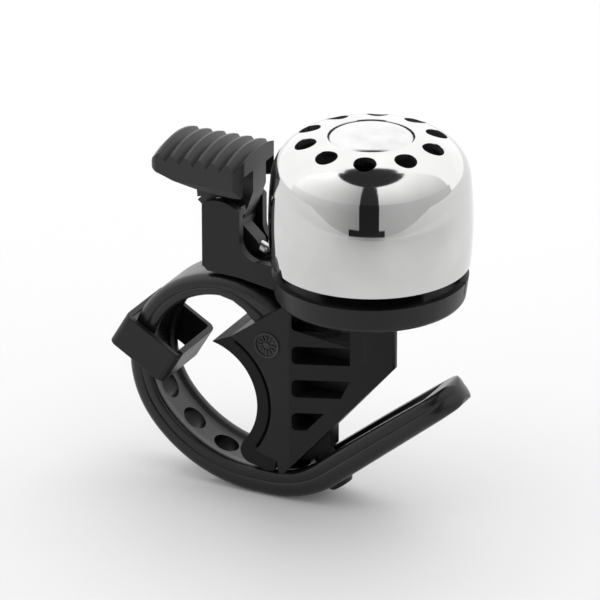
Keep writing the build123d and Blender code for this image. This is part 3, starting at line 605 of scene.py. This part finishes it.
def strapMesh():
    bm = bmesh.new()
    rings = []
    for outer, inner, width, channel, inset in strapStations():
        across = Vector((outer[0] - inner[0], 0, outer[1] - inner[1]))
        depth = across.length
        out = across.normalized()
        squeeze = max(0.05, (depth - 2 * inset) / depth)
        section = strapSection(depth, channel)
        ring = section + [(-y, t) for y, t in reversed(section[1:-1])]
        middle = depth / 2
        verts = []
        for y, t in ring:
            t = middle + (t - middle) * squeeze
            point = Vector((inner[0], 0, inner[1])) + out * t
            verts.append(bm.verts.new((point.x * mm, y * width * mm, point.z * mm)))
        rings.append(verts)
    for a, b in zip(rings, rings[1:]):
        for i in range(len(a)):
            j = (i + 1) % len(a)
            bm.faces.new((a[i], a[j], b[j], b[i]))
    bm.faces.new(rings[0])
    bm.faces.new(list(reversed(rings[-1])))
    bmesh.ops.recalc_face_normals(bm, faces=bm.faces)
    return fromBmesh("strapBand", bm, strapRubber)


strapBand = strapMesh()
holePlaces = []
for centreX, centreZ, radius, angle in (
    [(innerX, innerZ, innerRadius, a) for a in (212.8, 231.1, 249.3, 267.6)]
    + [(bendX, bendZ, bendInner, a) for a in (281.5, 304.0)]
):
    out = Vector((math.cos(math.radians(angle)), 0, math.sin(math.radians(angle))))
    inward = -out
    mouth = Vector((centreX, 0, centreZ)) + out * (radius + strapLook["channelDepth"] - 0.14)
    holePlaces.append((mouth * mm, inward))
strapGuide = guidePoints("strapGuide", holePlaces)
punch.run(strapBand, {
    "Guide": strapGuide, "Hole Radius": strapLook["holeRadius"] * mm, "Depth": strapLook["drillDepth"] * mm,
    "Lip": strapLook["lip"] * mm, "Sides": strapLook["holeSides"], "Material": strapRubber,
})
bpy.data.objects.remove(strapGuide)
smooth(strapBand, 40)
place(strapBand, "frame", "rubber_strap", "strap")
print("strap made")

# hammer
place(softCopy("hammer_head", "hammer", screwSteel, 0.1, 2, 50), "lever", "steel_hammer", "hammer_head")

# spring
# it is copied whole with its edges rounded over and is not attached to a body
springCoil = softCopy("lever_spring", "springCoil", springSteel, 0.02, 1, 60)
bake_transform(springCoil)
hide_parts("lever_spring")

# carried-over solids
kept = {
    "dome_screw": screwSteel, "dome_washer": screwSteel, "base_screw": screwSteel, "base_washer": screwSteel,
    "lever_pin": screwSteel, "strap_anchor_pin": screwSteel,
    "threaded_insert": insertBrass, "dome_isolator": padRubber, "lever_bumper": padRubber,
}
for node, material in kept.items():
    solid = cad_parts[node]
    solid.data.materials.clear()
    solid.data.materials.append(material)
print("small pieces dressed")

# studio
studio = {
    "azimuth": 26.0, "elevation": 23.5, "distance": 0.9, "lens": 307.26,
    "offset": (-12.39, -7.03), "floorZ": cadBox[0].z, "boardDistance": 0.21, "dark": 0.035,
    "floorHalf": 5.0, "panelSteps": 24,
}
towards = math.radians(studio["azimuth"])
rise = math.radians(studio["elevation"])
backwards = Vector((math.sin(towards) * math.cos(rise), -math.cos(towards) * math.cos(rise), math.sin(rise)))
sideways = Vector((math.cos(towards), math.sin(towards), 0))
upwards = backwards.cross(sideways)
upwards = upwards if upwards.z > 0 else -upwards


def plainMaterial(name, colour, emission, roughness):
    finish = Finish(name)
    finish.feed("Base Color", (*colour, 1))
    finish.feed("Roughness", roughness)
    finish.feed("Emission Color", (1, 1, 1, 1))
    finish.feed("Emission Strength", emission)
    return finish.material


def makeFloor():
    bm = bmesh.new()
    size = studio["floorHalf"]
    corners = [
        bm.verts.new((x, y, studio["floorZ"]))
        for x, y in ((-size, -size), (size, -size), (size, size), (-size, size))
    ]
    bm.faces.new(corners)
    floor = fromBmesh("tableTop", bm, plainMaterial("tableWhite", (0.62, 0.62, 0.62), 0.05, 0.6))


def makePanel(name, azimuths, elevations, bright, distance=2.6, lift=(0, 0)):
    # part of a sphere round the object; bright gives the strengths at its four corners
    bm = bmesh.new()
    layer = bm.verts.layers.float.new("glow")
    rows = []
    steps = studio["panelSteps"]
    for i in range(steps + 1):
        row = []
        v = i / steps
        for j in range(steps + 1):
            u = j / steps
            az = math.radians(azimuths[0] + (azimuths[1] - azimuths[0]) * u) + math.pi + towards
            bottom, top = elevations[0] + lift[0] * u**2, elevations[1] + lift[1] * u
            el = math.radians(bottom + (top - bottom) * v)
            spot = Vector((-math.sin(az) * math.cos(el), math.cos(az) * math.cos(el), math.sin(el)))
            spot = spot * distance + Vector((bellX * mm, 0, 0.03))
            vert = bm.verts.new(spot)
            low = bright[0] + (bright[1] - bright[0]) * u
            high = bright[2] + (bright[3] - bright[2]) * u
            vert[layer] = low + (high - low) * v
            row.append(vert)
        rows.append(row)
    for a, b in zip(rows, rows[1:]):
        for i in range(steps):
            bm.faces.new((a[i], a[i + 1], b[i + 1], b[i]))
    finish = Finish(name + "Glow")
    finish.feed("Base Color", (0, 0, 0, 1))
    finish.feed("Specular IOR Level", 0.0)
    glow = finish.add("ShaderNodeAttribute", {"attribute_name": "glow"}, {}, "Fac")
    finish.feed("Emission Color", finish.add("ShaderNodeCombineXYZ", {}, {0: glow, 1: glow, 2: glow}))
    finish.feed("Emission Strength", 1.0)
    panel = fromBmesh(name, bm, finish.material)
    panel.visible_camera = distance > 1


def makeLamp(name, spot, size, power):
    light = bpy.data.lights.new(name, "AREA")
    light.shape = "RECTANGLE"
    light.size = light.size_y = size
    light.energy = power
    lamp = bpy.data.objects.new(name, light)
    lamp.location = spot
    lamp.rotation_mode = "QUATERNION"
    lamp.rotation_quaternion = (-Vector(spot)).to_track_quat("-Z", "Y")
    lamp.visible_glossy = False
    bpy.context.scene.collection.objects.link(lamp)


makeFloor()
makePanel("leftPanel", (-13, -98), (-1, 54), (0.38, 1.35, 0.6, 1.9), lift=(0, 14))
makePanel("rightPanel", (8, 98), (-1, 54), (0.5, 0.72, 1.4, 1.5), lift=(0, 14))
makePanel("backPanel", (98, 262), (-1, 72), (1.4, 1.4, 1.5, 1.5))
near = studio["boardDistance"]
makePanel("leftBoard", (-13, -98), (-12.6, 14), (0.32, 1.0, 0.4, 1.3), near, (14, 0))
makePanel("rightBoard", (8, 98), (-12.6, 14), (0.5, 0.72, 0.55, 0.8), near, (14, 0))
makePanel("darkBoard", (-14, 9), (-12.6, 14), (0.02, 0.02, 0.02, 0.02), near + 0.004)
makePanel("darkLip", (-24, 14), (-12.6, -10.6), (0.02, 0.02, 0.02, 0.02), near - 0.004)
makeLamp("overhead", (0.2, 0.1, 2.2), 2.4, 30)

world = bpy.data.worlds.new("studioAir")
world.use_nodes = True
world.node_tree.nodes["Background"].inputs["Color"].default_value = (1.0, 1.0, 1.06, 1)
world.node_tree.nodes["Background"].inputs["Strength"].default_value = studio["dark"]
bpy.context.scene.world = world
bpy.context.scene.view_settings.view_transform = "Standard"

camera = bpy.data.objects.new("camera", bpy.data.cameras.new("camera"))
camera.data.lens = studio["lens"]
camera.data.sensor_width = 36.0
camera.data.clip_start = 0.05
camera.data.clip_end = 20.0
target = Vector((bellX, 0, rimZ)) * mm
target += (sideways * studio["offset"][0] + upwards * studio["offset"][1]) * mm
camera.location = target + backwards * studio["distance"]
camera.rotation_mode = "QUATERNION"
camera.rotation_quaternion = backwards.to_track_quat("Z", "Y")
bpy.context.scene.collection.objects.link(camera)
bpy.context.scene.camera = camera
print("studio set")
